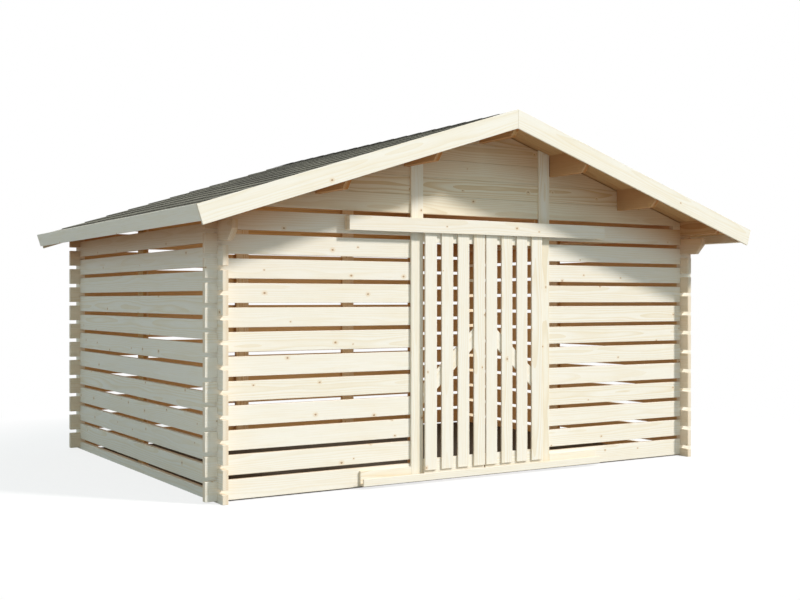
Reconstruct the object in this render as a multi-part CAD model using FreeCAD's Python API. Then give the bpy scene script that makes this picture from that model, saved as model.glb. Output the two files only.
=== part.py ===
"""Slatted woodshed: notched corners, low gable roof, two sliding door leaves. All sizes in millimetres."""
import FreeCAD, Part
from FreeCAD import Vector
from math import atan, cos, sin
import os

os.makedirs("parts", exist_ok=True)

# Wall boards: every size of the shed follows from the board, its thickness and the row spacing.
BOARD = 138.0
THICK = 44.0
PITCH = 170.0
HALF_ROW = PITCH / 2
ROWS = 12
SILL = 14.0
WIDTH = 4472.0
DEPTH = 3340.0
STUB = 90.0
LONG_LOG = 250.0
LOG_CUT = 74.0
LAP = (BOARD - HALF_ROW) / 2
LAP_PLAY = 1.0

# Roof: the top edge of the barge boards is the line that the layers below it are counted from. It crosses the
# outer face of the side walls a little above the last row, and rises from there to the ridge.
RISE = 0.3236
ROOF_ABOVE_ROWS = 59.0
EAVE_REACH = 335.0
ROOF_FRONT = 470.0
ROOF_BACK = 212.0
SHINGLE_TOP = 6.0
SHINGLE = 9.0
ROOF_BOARD = 20.0
TRIM = 18.0
FASCIA = 112.0
CAP_REACH = 130.0
CAP = 5.0
PURLIN = 166.0
PURLIN_CUT = 50.0
PURLIN_BESIDE_POST = 30.0
GABLE_PLAY = 8.0
GABLE_FOOT = 90.0
GROOVE = 3.0

# Doorway, posts and battens.
DOOR_HALF = 564.0
POST = 108.0
POST_T = 18.0
INNER_POST = 44.0
BATTEN = 135.0
BACK_BATTEN_OUT = 46.0
SIDE_BATTEN_BACK = 50.0

# Sliding leaves, counted from the front face of the outer posts. Each covers its half of the doorway and a
# little of the post, and slides clear of the doorway.
RUN_GAP = 6.0
SLAT_T = 15.0
SLATS = 4
SLAT_GAP = 45.0
SEAM = 6.0
LEAF_OVER_POST = 4.0
TRAVEL = 560.0
TOP_RAIL = 95.0
LOW_RAIL = 137.0
SLAT_UP = 49.0
BRACE = 112.0
BRACE_FOOT = 636.0
BRACE_RISE = 503.0

# Door header, track and bottom guide.
LEFT_END_PLAY = 69.0
RIGHT_END_PLAY = 53.0
HEADER_UP = 21.0
HEADER = 109.0
LEAF_BELOW_TRACK = 12.0
BEAM = 45.0
END_BLOCK = 44.0
TRACK_W = 30.0
TRACK_H = 30.0
SHEET = 2.5
SLOT = 10.0
WHEEL_R = 9.0
WHEEL_W = 5.0
WHEEL_PLAY = 0.5
TROLLEY = 60.0
GUIDE_SHORT_LEFT = 11.0
GUIDE_PAST_RIGHT = 48.0
GUIDE_UP = 24.0
GUIDE_LIP = 54.0
LIP_T = 16.0
GUIDE_BACK = 108.0
GUIDE_FLOOR = 18.0

# The front face of the front wall lies where the whole roof is centred on the frame.
FRONT = (ROOF_FRONT - DEPTH - ROOF_BACK) / 2
BACK = FRONT + DEPTH
ROOF_Y0 = FRONT - ROOF_FRONT
ROOF_Y1 = BACK + ROOF_BACK
HALF = WIDTH / 2
SLOPE = atan(RISE)
RIDGE_Z = SILL + ROWS * PITCH + ROOF_ABOVE_ROWS + HALF * RISE
ROOF_LOW = SHINGLE_TOP + SHINGLE + ROOF_BOARD
RUN = (HALF + EAVE_REACH) / cos(SLOPE)
EAVE_X = HALF - THICK / 2
UPPER_X = DOOR_HALF + POST + PURLIN_BESIDE_POST
LOWER_X = (UPPER_X + EAVE_X) / 2

pieces = {}


def keep(name, shapes):
    solids = shapes if isinstance(shapes, list) else [shapes]
    pieces[name] = solids[0] if len(solids) == 1 else Part.makeCompound(solids)


def box(x0, x1, y0, y1, z0, z1):
    return Part.makeBox(abs(x1 - x0), y1 - y0, z1 - z0, Vector(min(x0, x1), y0, z0))


def plate_xz(points, y0, y1):
    wire = Part.makePolygon([Vector(x, y0, z) for x, z in points + points[:1]])
    return Part.Face(wire).extrude(Vector(0, y1 - y0, 0))


def plate_yz(points, x0, x1):
    wire = Part.makePolygon([Vector(x0, y, z) for y, z in points + points[:1]])
    return Part.Face(wire).extrude(Vector(x1 - x0, 0, 0))


def slope_point(side, run, drop):
    """Place on a roof side: run down the slope from the ridge line, drop square to it."""
    return (side * (run * cos(SLOPE) - drop * sin(SLOPE)), RIDGE_Z - run * sin(SLOPE) - drop * cos(SLOPE))


def slope_z(x, drop):
    """Height of the layer that lies drop below the top of the barge boards, at x across the shed."""
    return RIDGE_Z - drop / cos(SLOPE) - abs(x) * sin(SLOPE) / cos(SLOPE)


def slope_sheet(side, top, bottom, run, y0, y1, joint=0.5):
    """A layer on one roof side, cut upright at the ridge and square to the slope at its lower edge."""
    ridge = [(side * joint, slope_z(joint, bottom)), (side * joint, slope_z(joint, top))]
    return plate_xz(ridge + [slope_point(side, run, top), slope_point(side, run, bottom)], y0, y1)


def under_roof(y0, y1, play=0):
    """Everything below the roof boards, for boards and posts cut to the slope."""
    out = HALF + EAVE_REACH
    low = ROOF_LOW + play
    eave = slope_z(out, low)
    points = [(-out, -1), (out, -1), (out, eave), (0, slope_z(0, low)), (-out, eave)]
    return plate_xz(points, y0, y1)


# Walls. The side walls stand on the ground on a foot board; front and back boards start a little above it,
# side boards half a row higher. Where two boards cross, each gives half of the overlap, so that the rows lock
# and every end sticks out by the stub.
def front_row(z, y0, x0, x1):
    board = box(x0, x1, y0, y0 + THICK, z, z + BOARD)
    for side in (-1, 1):
        a = side * HALF - side * THICK - side * LAP_PLAY
        b = side * HALF + side * LAP_PLAY
        for low in (z, z + BOARD - LAP):
            board = board.cut(box(a, b, y0 - 1, y0 + THICK + 1, low, low + LAP))
    return board


def side_row(z, side, y0, y1, height=BOARD, low_laps=True):
    a, b = side * (HALF - THICK), side * HALF
    board = box(a, b, y0, y1, z, z + height)
    for wall in (FRONT, BACK - THICK):
        lows = [z, z + height - LAP] if low_laps else [z + height - LAP]
        for low in lows:
            y = wall - LAP_PLAY
            board = board.cut(box(a - side, b + side, y, y + THICK + 2 * LAP_PLAY, low, low + LAP))
    return board


row_z = [SILL + i * PITCH for i in range(ROWS)]
doorway_rows = row_z[:-1]
keep("front_wall_left", [front_row(z, FRONT, -HALF - STUB, -DOOR_HALF) for z in doorway_rows])
keep("front_wall_right", [front_row(z, FRONT, DOOR_HALF, HALF + STUB) for z in doorway_rows])
keep("front_lintel_board", front_row(row_z[-1], FRONT, -HALF - STUB, HALF + STUB))
keep("back_wall", [front_row(z, BACK - THICK, -HALF - STUB, HALF + STUB) for z in row_z])

side_z = [z + HALF_ROW for z in row_z]
FOOT = SILL + HALF_ROW - (PITCH - BOARD)
for side, name in ((-1, "left"), (1, "right")):
    y0, y1 = FRONT - STUB, BACK + STUB
    foot = side_row(0, side, y0, y1, FOOT, low_laps=False)
    keep(name + "_wall", [foot] + [side_row(z, side, y0, y1) for z in side_z[:-2]])
    log = side_row(side_z[-2], side, FRONT - LONG_LOG, y1)
    nose = FRONT - LONG_LOG
    low = side_z[-2]
    cut = [(nose - 1, low - 1), (nose + LOG_CUT, low - 1), (nose + LOG_CUT, low), (nose, low + LOG_CUT),
           (nose - 1, low + LOG_CUT)]
    keep(name + "_long_log", log.cut(plate_yz(cut, side * HALF - 2 * THICK, side * HALF + 2 * THICK)))


# Purlins: boards on edge, bevelled to the slope above and slanted at both lower ends.
def purlin(x, low, height):
    y0, y1 = ROOF_Y0 + TRIM, ROOF_Y1 - TRIM
    points = [(y0, low + height), (y0, low + PURLIN_CUT), (y0 + PURLIN_CUT, low), (y1 - PURLIN_CUT, low),
              (y1, low + PURLIN_CUT), (y1, low + height)]
    return plate_yz(points, x - THICK / 2, x + THICK / 2).common(under_roof(y0 - 1, y1 + 1))


def purlin_low(x):
    return slope_z(x, ROOF_LOW) - PURLIN


for side, name in ((-1, "left"), (1, "right")):
    eave = purlin(side * EAVE_X, side_z[-1], BOARD)
    for wall in (FRONT, BACK - THICK):
        lap = box(side * (HALF - THICK - 1), side * (HALF + 1), wall - LAP_PLAY, wall + THICK + LAP_PLAY,
                  side_z[-1], side_z[-1] + LAP)
        eave = eave.cut(lap)
    keep(name + "_eave_purlin", eave)
keep("ridge_purlin", purlin(0, purlin_low(0), PURLIN + 20))
between = [purlin(side * x, purlin_low(x), PURLIN + 20) for side in (-1, 1) for x in (UPPER_X, LOWER_X)]
keep("slope_purlins", between)


# Gables: boards stacked tight above the last open gap on a foot at each end, cut a little short of the slope
# and notched over the purlins.
def gable(y0):
    low = SILL + ROWS * PITCH
    reach = HALF - THICK
    panel = box(-reach, reach, y0, y0 + THICK, low, RIDGE_Z)
    for side in (-1, 1):
        foot = box(side * (reach - GABLE_FOOT), side * reach, y0, y0 + THICK, row_z[-1] + BOARD, low)
        panel = panel.fuse(foot)
    panel = panel.removeSplitter().common(under_roof(y0 - 1, y0 + THICK + 1, GABLE_PLAY))
    seam = low + BOARD + GROOVE
    while seam < RIDGE_Z - BOARD / 2:
        for face, inward in ((y0, 1), (y0 + THICK, -1)):
            mouth = face - inward
            vee = [(mouth, seam - GROOVE), (face + inward * GROOVE, seam), (mouth, seam + GROOVE)]
            panel = panel.cut(plate_yz(vee, -HALF, HALF))
        seam += BOARD + GROOVE
    for x in (0, -UPPER_X, UPPER_X, -LOWER_X, LOWER_X):
        half = THICK / 2 + LAP_PLAY
        panel = panel.cut(box(x - half, x + half, y0 - 5, y0 + THICK + 5, purlin_low(x), RIDGE_Z))
    return panel


keep("front_gable", gable(FRONT))
keep("back_gable", gable(BACK - THICK))


# Posts beside the doorway and battens inside the walls, all cut to the slope.
def upright(x0, x1, y0, y1):
    return box(x0, x1, y0, y1, SILL, RIDGE_Z).common(under_roof(y0 - 1, y1 + 1))


def pair(x0, x1, y0, y1):
    out = []
    for side in (-1, 1):
        post = upright(side * x0, side * x1, y0, y1)
        for x in (UPPER_X, LOWER_X):
            half = THICK / 2 + LAP_PLAY
            post = post.cut(box(side * (x - half), side * (x + half), y0 - 1, y1 + 1, purlin_low(x), RIDGE_Z))
        out.append(post)
    return out


keep("front_posts", pair(DOOR_HALF, DOOR_HALF + POST, FRONT - POST_T, FRONT))
stud = DOOR_HALF + (POST - INNER_POST) / 2
keep("inner_posts", pair(stud, stud + INNER_POST, FRONT + THICK, FRONT + 2 * THICK))
batten_x = DOOR_HALF + BACK_BATTEN_OUT
keep("back_battens", pair(batten_x - BATTEN / 2, batten_x + BATTEN / 2, BACK - 2 * THICK, BACK - THICK))
for side, name in ((-1, "left"), (1, "right")):
    mid = FRONT + DEPTH / 2 + SIDE_BATTEN_BACK
    face = side * (HALF - THICK)
    keep(name + "_batten", upright(face - side * THICK, face, mid - BATTEN / 2, mid + BATTEN / 2))

# Roof layers. The front barge boards cover their ends; at the back the shingles and the fascias run over the
# barge boards. The fascias stand level with the top of the front barge boards.
IN0, IN1 = ROOF_Y0 + TRIM, ROOF_Y1 - TRIM
barges = {"front": [], "back": []}
fascias = []
for side, name in ((-1, "left"), (1, "right")):
    boards = slope_sheet(side, SHINGLE_TOP + SHINGLE, ROOF_LOW, RUN - TRIM, IN0, IN1)
    keep(name + "_roof_boards", boards)
    keep(name + "_shingles", slope_sheet(side, SHINGLE_TOP, SHINGLE_TOP + SHINGLE, RUN - TRIM, IN0, ROOF_Y1))
    corners = [slope_point(side, RUN - TRIM, 0), slope_point(side, RUN, 0), slope_point(side, RUN, FASCIA),
               slope_point(side, RUN - TRIM, FASCIA)]
    fascias.append(plate_xz(corners, IN0, ROOF_Y1))
    barges["front"].append(slope_sheet(side, 0, BOARD, RUN, ROOF_Y0, ROOF_Y0 + TRIM))
    barges["back"].append(slope_sheet(side, SHINGLE_TOP + SHINGLE, BOARD, RUN - TRIM, IN1, ROOF_Y1))
keep("front_barge_boards", barges["front"])
keep("back_barge_boards", barges["back"])
keep("eave_fascias", fascias)

top, under = SHINGLE_TOP - CAP, SHINGLE_TOP
cap = [slope_point(-1, CAP_REACH, under), slope_point(-1, CAP_REACH, top), (0, slope_z(0, top)),
       slope_point(1, CAP_REACH, top), slope_point(1, CAP_REACH, under), (0, slope_z(0, under))]
keep("ridge_cap", plate_xz(cap, IN0, ROOF_Y1))

# Door header: beam with end blocks back to the wall, cover board in front, steel track below the beam. It
# reaches a little further left than right.
POST_FACE = FRONT - POST_T
RAIL_Y = POST_FACE - RUN_GAP - SLAT_T
SLAT_Y = RAIL_Y - SLAT_T
COVER_BACK = SLAT_Y - RUN_GAP
LEAF_W = DOOR_HALF + LEAF_OVER_POST - SEAM
OPEN_EDGE = SEAM + LEAF_W + TRAVEL
HEADER_LEFT = OPEN_EDGE + LEFT_END_PLAY + END_BLOCK
HEADER_RIGHT = OPEN_EDGE + RIGHT_END_PLAY + END_BLOCK
HEADER_Z = row_z[-1] + HEADER_UP
HEADER_TOP = HEADER_Z + HEADER
BEAM_Z = HEADER_TOP - BEAM
keep("header_beam", box(-HEADER_LEFT, HEADER_RIGHT, COVER_BACK, POST_FACE, BEAM_Z, HEADER_TOP))
keep("header_cover", box(-HEADER_LEFT, HEADER_RIGHT, COVER_BACK - TRIM, COVER_BACK, HEADER_Z, HEADER_TOP))
blocks = []
for end, inward in ((-HEADER_LEFT, 1), (HEADER_RIGHT, -1)):
    blocks.append(box(end, end + inward * END_BLOCK, COVER_BACK, POST_FACE, HEADER_Z, BEAM_Z))
    blocks.append(box(end, end + inward * END_BLOCK, POST_FACE, FRONT, HEADER_Z, HEADER_TOP))
keep("header_blocks", blocks)

TRACK_Y = RAIL_Y
TRACK_Z = BEAM_Z - TRACK_H
half = TRACK_W / 2
inner = half - SHEET
lip_top = TRACK_Z + SHEET
profile = [(TRACK_Y - half, BEAM_Z), (TRACK_Y - half, TRACK_Z), (TRACK_Y - SLOT / 2, TRACK_Z),
           (TRACK_Y - SLOT / 2, lip_top), (TRACK_Y - inner, lip_top), (TRACK_Y - inner, BEAM_Z - SHEET),
           (TRACK_Y + inner, BEAM_Z - SHEET), (TRACK_Y + inner, lip_top), (TRACK_Y + SLOT / 2, lip_top),
           (TRACK_Y + SLOT / 2, TRACK_Z), (TRACK_Y + half, TRACK_Z), (TRACK_Y + half, BEAM_Z)]
keep("door_track", plate_yz(profile, END_BLOCK - HEADER_LEFT, HEADER_RIGHT - END_BLOCK))

# Bottom guide: a floor strip with a front lip runs right across, a back board stands each side of the posts.
# It hangs a little above the ground, and reaches further right than left.
GUIDE_LEFT = OPEN_EDGE - GUIDE_SHORT_LEFT
GUIDE_RIGHT = OPEN_EDGE + GUIDE_PAST_RIGHT
GUIDE_Z = GUIDE_UP + GUIDE_FLOOR
LIP_BACK = RAIL_Y - SLAT_T
lip = [(POST_FACE, GUIDE_UP), (LIP_BACK - LIP_T, GUIDE_UP), (LIP_BACK - LIP_T, GUIDE_UP + GUIDE_LIP),
       (LIP_BACK, GUIDE_UP + GUIDE_LIP), (LIP_BACK, GUIDE_Z), (POST_FACE, GUIDE_Z)]
keep("guide_channel", plate_yz(lip, -GUIDE_LEFT, GUIDE_RIGHT))
backs = [box(x0, x1, POST_FACE, FRONT, GUIDE_UP, GUIDE_UP + GUIDE_BACK)
         for x0, x1 in ((-GUIDE_LEFT, -DOOR_HALF - POST), (DOOR_HALF + POST, GUIDE_RIGHT))]
keep("guide_backs", backs)


# Door leaves: four slats on a top rail, a bottom rail and a brace that rises to the seam, hung on two
# trolleys. Only the bottom rail reaches down behind the lip; the slats end above it.
SLAT = (LEAF_W - (SLATS - 1) * SLAT_GAP) / SLATS
LEAF_Z = GUIDE_Z + RUN_GAP
LEAF_TOP = TRACK_Z - LEAF_BELOW_TRACK
BRACE_LOW = LEAF_Z + BRACE_FOOT
BRACE_HIGH = BRACE_LOW + BRACE_RISE
WHEEL_Z = TRACK_Z + SHEET + WHEEL_R + WHEEL_PLAY
for side, name in ((-1, "left"), (1, "right")):
    inner_x, outer_x = SEAM, SEAM + LEAF_W
    slats = []
    for i in range(SLATS):
        a = inner_x + i * (SLAT + SLAT_GAP)
        slats.append(box(side * a, side * (a + SLAT), SLAT_Y, RAIL_Y, LEAF_Z + SLAT_UP, LEAF_TOP))
    keep(name + "_door_slats", slats)
    for rail, low, high in (("top", LEAF_TOP - TOP_RAIL, LEAF_TOP), ("bottom", LEAF_Z, LEAF_Z + LOW_RAIL)):
        board = box(side * inner_x, side * outer_x, RAIL_Y, RAIL_Y + SLAT_T, low, high)
        keep(name + "_door_" + rail + "_rail", board)
    rise = atan((BRACE_HIGH - BRACE_LOW) / LEAF_W)
    h = BRACE / 2 / cos(rise)
    corners = [(side * outer_x, BRACE_LOW - h), (side * outer_x, BRACE_LOW + h),
               (side * inner_x, BRACE_HIGH + h), (side * inner_x, BRACE_HIGH - h)]
    keep(name + "_door_brace", plate_xz(corners, RAIL_Y, RAIL_Y + SLAT_T))
    trolleys = []
    for x in (inner_x + TOP_RAIL, outer_x - TOP_RAIL):
        x = side * x
        stem = SLOT / 2 - 1.5
        body = box(x - TROLLEY / 2, x + TROLLEY / 2, TRACK_Y - stem, TRACK_Y + stem, LEAF_TOP, WHEEL_Z + 3)
        long, reach = TROLLEY / 2, SLAT_T - 2
        plate = box(x - long, x + long, TRACK_Y - reach, TRACK_Y + reach, LEAF_TOP, LEAF_TOP + 4)
        body = body.fuse(plate)
        for dx in (-TROLLEY / 2 + WHEEL_R + 1, TROLLEY / 2 - WHEEL_R - 1):
            for back in (-1, 1):
                y = TRACK_Y + back * (stem + 0.5)
                wheel = Part.makeCylinder(WHEEL_R, WHEEL_W, Vector(x + dx, y, WHEEL_Z), Vector(0, back, 0))
                hub = Part.makeCylinder(2.5, 1.5, Vector(x + dx, y - back, WHEEL_Z), Vector(0, back, 0))
                body = body.fuse([wheel, hub])
        trolleys.append(body.removeSplitter())
    keep(name + "_door_trolleys", trolleys)

for name, shape in pieces.items():
    shape.exportStep("parts/" + name + ".step")
print(len(pieces), "pieces")
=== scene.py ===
"""Woodshed of planed spruce with notched corners, a low shingled roof and two sliding slatted leaves."""
import bpy
import numpy as np
from math import atan, cos, pi, radians, sin
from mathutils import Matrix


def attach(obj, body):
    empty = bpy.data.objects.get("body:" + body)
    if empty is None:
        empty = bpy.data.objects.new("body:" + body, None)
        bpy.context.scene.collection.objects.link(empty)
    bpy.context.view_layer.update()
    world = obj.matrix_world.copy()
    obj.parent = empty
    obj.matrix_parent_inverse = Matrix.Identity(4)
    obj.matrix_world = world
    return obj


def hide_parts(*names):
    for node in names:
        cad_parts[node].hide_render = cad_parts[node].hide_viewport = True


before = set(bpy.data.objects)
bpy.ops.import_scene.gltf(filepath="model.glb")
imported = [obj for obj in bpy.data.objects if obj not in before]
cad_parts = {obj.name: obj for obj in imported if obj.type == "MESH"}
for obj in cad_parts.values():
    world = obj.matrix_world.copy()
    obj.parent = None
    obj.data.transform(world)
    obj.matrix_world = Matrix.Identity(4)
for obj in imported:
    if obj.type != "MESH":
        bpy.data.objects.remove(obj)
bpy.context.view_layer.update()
scene = bpy.context.scene
scene.view_settings.view_transform = "Standard"

# Camera: stands 1.4 m above the ground, left of the shed and in front of it, and looks level at its front.
eye = bpy.data.cameras.new("eye")
eye.lens = 50.19
eye.sensor_width = 36.0
eye.shift_y = -0.0005
camera = bpy.data.objects.new("camera", eye)
camera.location = (-5.213, -8.691, 1.397)
camera.rotation_euler = (pi / 2, 0, -radians(31.904))
scene.collection.objects.link(camera)
scene.camera = camera

# Light: one broad warm lamp high in front on the right, and a cool even sky for the shaded sides. The colours are
# written as the wood has them, and the lamp is set so that the lit boards stay just below white.
sun = bpy.data.lights.new("key", "SUN")
sun.energy = 3.1
sun.angle = radians(6)
sun.color = (1.0, 0.968, 0.925)
key = bpy.data.objects.new("key", sun)
key.rotation_euler = (radians(51.2), 0, radians(40.7))
scene.collection.objects.link(key)

# A soft warm glow hangs in the middle of the shed and stands for the light that the pale boards throw to and fro.
lantern = bpy.data.lights.new("inner_light", "POINT")
lantern.energy = 22.0
lantern.color = (1.0, 0.98, 0.92)
lantern.shadow_soft_size = 0.5
lamp = bpy.data.objects.new("inner_light", lantern)
lamp.location = (0.0, 0.13, 1.15)
scene.collection.objects.link(lamp)


def linear(code):
    """An sRGB hex colour as linear RGBA: each channel c becomes ((c + 0.055) / 1.055) to the power 2.4."""
    srgb = np.array([int(code[i:i + 2], 16) / 255 for i in (1, 3, 5)])
    rgb = np.where(srgb > 0.04045, ((srgb + 0.055) / 1.055) ** 2.4, srgb / 12.92)
    return (*rgb.tolist(), 1.0)


def add(tree, kind, settings=(), links=()):
    """Adds one node. settings gives its own properties and socket values by name, links the outputs that feed it."""
    made = tree.nodes.new("ShaderNode" + kind)
    for name, value in dict(settings).items():
        if isinstance(name, str) and hasattr(made, name):
            setattr(made, name, value)
        else:
            made.inputs[name].default_value = value
    for name, output in dict(links).items():
        tree.links.new(output, made.inputs[name])
    return made


def seen_rays(tree):
    """1 where the surroundings are looked at, straight, mirrored or through glass, and 0 where they light the shed."""
    rays = add(tree, "LightPath").outputs
    seen = add(tree, "Math", {"operation": "MAXIMUM"}, {0: rays["Is Camera Ray"], 1: rays["Is Glossy Ray"]})
    return add(tree, "Math", {"operation": "MAXIMUM"}, {0: seen.outputs[0], 1: rays["Is Transmission Ray"]})


sky = bpy.data.worlds.new("sky")
scene.world = sky
sky.use_nodes = True
tree = sky.node_tree
tree.nodes.clear()
seen = seen_rays(tree)
fill = add(tree, "Background", {"Color": (0.80, 0.96, 0.98, 1), "Strength": 0.58})
white = add(tree, "Background", {"Color": (1, 1, 1, 1), "Strength": 1.0})
both = add(tree, "MixShader", {}, {0: seen.outputs[0], 1: fill.outputs[0], 2: white.outputs[0]})
add(tree, "OutputWorld", {}, {"Surface": both.outputs[0]})

# Floor: a plain pale disc that keeps a faint shadow near the shed and fades into the white behind it. Its ground
# between the walls is given in metres by half its width, its middle and half its depth.
SPACE_X, SPACE_MIDDLE, SPACE_Y = 2.2, 0.129, 1.63
around = np.linspace(0, 2 * pi, 97)[:-1]
disc = np.stack([60 * np.cos(around), 60 * np.sin(around), 0 * around], axis=1)
floor_mesh = bpy.data.meshes.new("floor")
floor_mesh.from_pydata(disc.tolist(), [], [list(range(96))])
floor = bpy.data.objects.new("floor", floor_mesh)
scene.collection.objects.link(floor)
pale = bpy.data.materials.new("pale_floor")
pale.use_nodes = True
tree = pale.node_tree
tree.nodes.clear()
seen = seen_rays(tree)
spot = add(tree, "TexCoord")
away = add(tree, "VectorMath", {"operation": "LENGTH"}, {0: spot.outputs["Object"]})
fade = add(tree, "MapRange", {"interpolation_type": "SMOOTHSTEP", "From Min": 3.2, "From Max": 5.6},
           {"Value": away.outputs["Value"]})
matt = add(tree, "BsdfDiffuse", {"Color": (0.24, 0.24, 0.24, 1)})
glow = add(tree, "Emission", {"Color": (1, 1, 1, 1), "Strength": 0.78})
near = add(tree, "AddShader", {}, {0: matt.outputs[0], 1: glow.outputs[0]})
far = add(tree, "Emission", {"Color": (1, 1, 1, 1), "Strength": 1.0})
shown = add(tree, "MixShader", {}, {0: fade.outputs[0], 1: near.outputs[0], 2: far.outputs[0]})
# Under the roof the ground is drawn dark for the camera, as painted shade that shows through the low gaps, and
# for the light it gives back to the walls it is paler and warmer there.
inside = add(tree, "SeparateXYZ", {}, {0: spot.outputs["Object"]})
for_x = add(tree, "Math", {"operation": "COMPARE", 1: 0.0, 2: SPACE_X}, {0: inside.outputs[0]})
for_y = add(tree, "Math", {"operation": "COMPARE", 1: SPACE_MIDDLE, 2: SPACE_Y}, {0: inside.outputs[1]})
inside = add(tree, "Math", {"operation": "MULTIPLY"}, {0: for_x.outputs[0], 1: for_y.outputs[0]})
painted_floor_shade = add(tree, "BsdfDiffuse", {"Color": (0.16, 0.15, 0.13, 1)})
shown = add(tree, "MixShader", {}, {0: inside.outputs[0], 1: shown.outputs[0], 2: painted_floor_shade.outputs[0]})
back_light = add(tree, "Mix", {"data_type": "RGBA", 6: (0.34, 0.33, 0.31, 1), 7: (0.85, 0.80, 0.72, 1)},
                 {0: inside.outputs[0]})
dull = add(tree, "BsdfDiffuse", {}, {"Color": back_light.outputs[2]})
ground = add(tree, "MixShader", {}, {0: seen.outputs[0], 1: dull.outputs[0], 2: shown.outputs[0]})
add(tree, "OutputMaterial", {}, {"Surface": ground.outputs[0]})
floor_mesh.materials.append(pale)

# Wall boards of the front: planed spruce, 138 x 44 mm with eased arrises, laid 170 mm apart and notched 26 mm deep
# above and below where they cross the side boards. The sawn ends stick out 90 mm past the corner.
BOARD, THICK, PITCH, LAP = 138.0, 44.0, 170.0, 26.5
HALF, STUB, DOOR_HALF = 2236.0, 90.0, 564.0
FRONT, BACK = -1541.0, 1799.0
grown = np.random.default_rng(20)
UP, ACROSS, BACKWARDS = np.array([0, 0, 1.0]), np.array([1.0, 0, 0]), np.array([0, 1.0, 0])


def plank(along, low, high, near, far, outer="near", ease=2.5, lean=0.0):
    """One board in millimetres: a section with rounded corners carried through stations along its length.
    Each corner is the inner corner plus ease times (cos t, sin t), with t in steps of 45 degrees; the first and last
    section have 0.3 of that rounding, for the eased rim of a sawn end. lean moves a point along the board by lean
    times its height, for slanted cuts. Gives points (along, up, through), quads, end faces and the attributes that
    the wood is drawn from."""
    along, low, high = (np.array(part, float) for part in np.broadcast_arrays(along, low, high))
    lean = np.broadcast_to(np.asarray(lean, float), along.shape)
    pick = np.r_[0, 0, 1:len(along) - 1, -1, -1]
    along, low, high, lean = along[pick], low[pick], high[pick], lean[pick]
    along[1] += ease
    along[-2] -= ease
    draw = np.ones(len(along))
    draw[[0, -1]] = 0.3
    e = np.minimum(ease, 0.45 * (high - low))[:, None]
    t = np.radians([0, 45, 90, 90, 135, 180, 180, 225, 270, 270, 315, 360])
    right = np.repeat([1, -1, -1, 1], 3)
    top = np.repeat([1, 1, -1, -1], 3)
    through = (near + far) / 2 + right * ((far - near) / 2 - e) + draw[:, None] * e * np.cos(t)
    up = ((low + high) / 2)[:, None] + top * (((high - low) / 2)[:, None] - e) + draw[:, None] * e * np.sin(t)
    run = along[:, None] + lean[:, None] * up
    points = np.stack([run, up, through], axis=2)
    i, j = np.meshgrid(np.arange(len(along) - 1), np.arange(12), indexing="ij")
    k = (j + 1) % 12
    quads = np.stack([i * 12 + j, i * 12 + k, (i + 1) * 12 + k, (i + 1) * 12 + j], axis=2).reshape(-1, 4)
    ends = np.array([np.arange(12)[::-1], (len(along) - 1) * 12 + np.arange(12)])
    depth = through - near if outer == "near" else far - through
    grain = np.stack([run + grown.uniform(0, 6e4), up - low.min() + grown.uniform(0, 9e3), depth], axis=2) / 1000
    middle = grain[:, :, 1].mean()
    log = [middle + grown.uniform(-0.07, 0.07), grown.uniform(0.03, 0.12), grown.uniform(0, 1)]
    cut = np.repeat((draw < 1).astype(float), 12)
    return points.reshape(-1, 3), quads, ends, grain.reshape(-1, 3), np.tile(log, (cut.size, 1)), cut


def fit_boards(name, planks, basis, material, body, stands_for):
    """Joins boards into one mesh: a point is along times the first basis vector plus up times the second plus through
    times the third. Faces are turned where the basis is left-handed, so that they all point outwards."""
    along, up, through = basis
    counts = np.cumsum([0] + [len(p[0]) for p in planks])
    local = np.concatenate([p[0] for p in planks])
    points = (local[:, :1] * along + local[:, 1:2] * up + local[:, 2:] * through) / 1000
    quads = np.concatenate([p[1] + n for p, n in zip(planks, counts)])
    ends = np.concatenate([p[2] + n for p, n in zip(planks, counts)])
    if np.linalg.det(np.array([through, up, along])) < 0:
        quads, ends = quads[:, ::-1], ends[:, ::-1]
    mesh = bpy.data.meshes.new(name)
    mesh.from_pydata(points.tolist(), [], quads.tolist() + ends.tolist())
    for label, kind, column in (("grain", "FLOAT_VECTOR", 3), ("log", "FLOAT_VECTOR", 4), ("cut", "FLOAT", 5)):
        values = np.concatenate([p[column] for p in planks]).astype(np.float32).ravel()
        field = "value" if kind == "FLOAT" else "vector"
        mesh.attributes.new(label, kind, "POINT").data.foreach_set(field, values)
    mesh.materials.append(material)
    piece = bpy.data.objects.new(name, mesh)
    scene.collection.objects.link(piece)
    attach(piece, body)
    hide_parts(*stands_for)
    return piece


def notched(start, end, crossings, low, high, cut_low=LAP, cut_high=LAP):
    """Stations of a board with a notch at each crossing: the place twice at each side, with and without the notch."""
    along, lows, highs = [start], [low], [high]
    for a, b in crossings:
        along += [a, a, b, b]
        lows += [low, low + cut_low, low + cut_low, low]
        highs += [high, high - cut_high, high - cut_high, high]
    return along + [end], lows + [low], highs + [high]


# The roof line, which the walls' shade of brown is counted from: its rise per metre and the ridge's height.
RISE, RIDGE_Z = 0.3236, 2836.57


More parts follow.
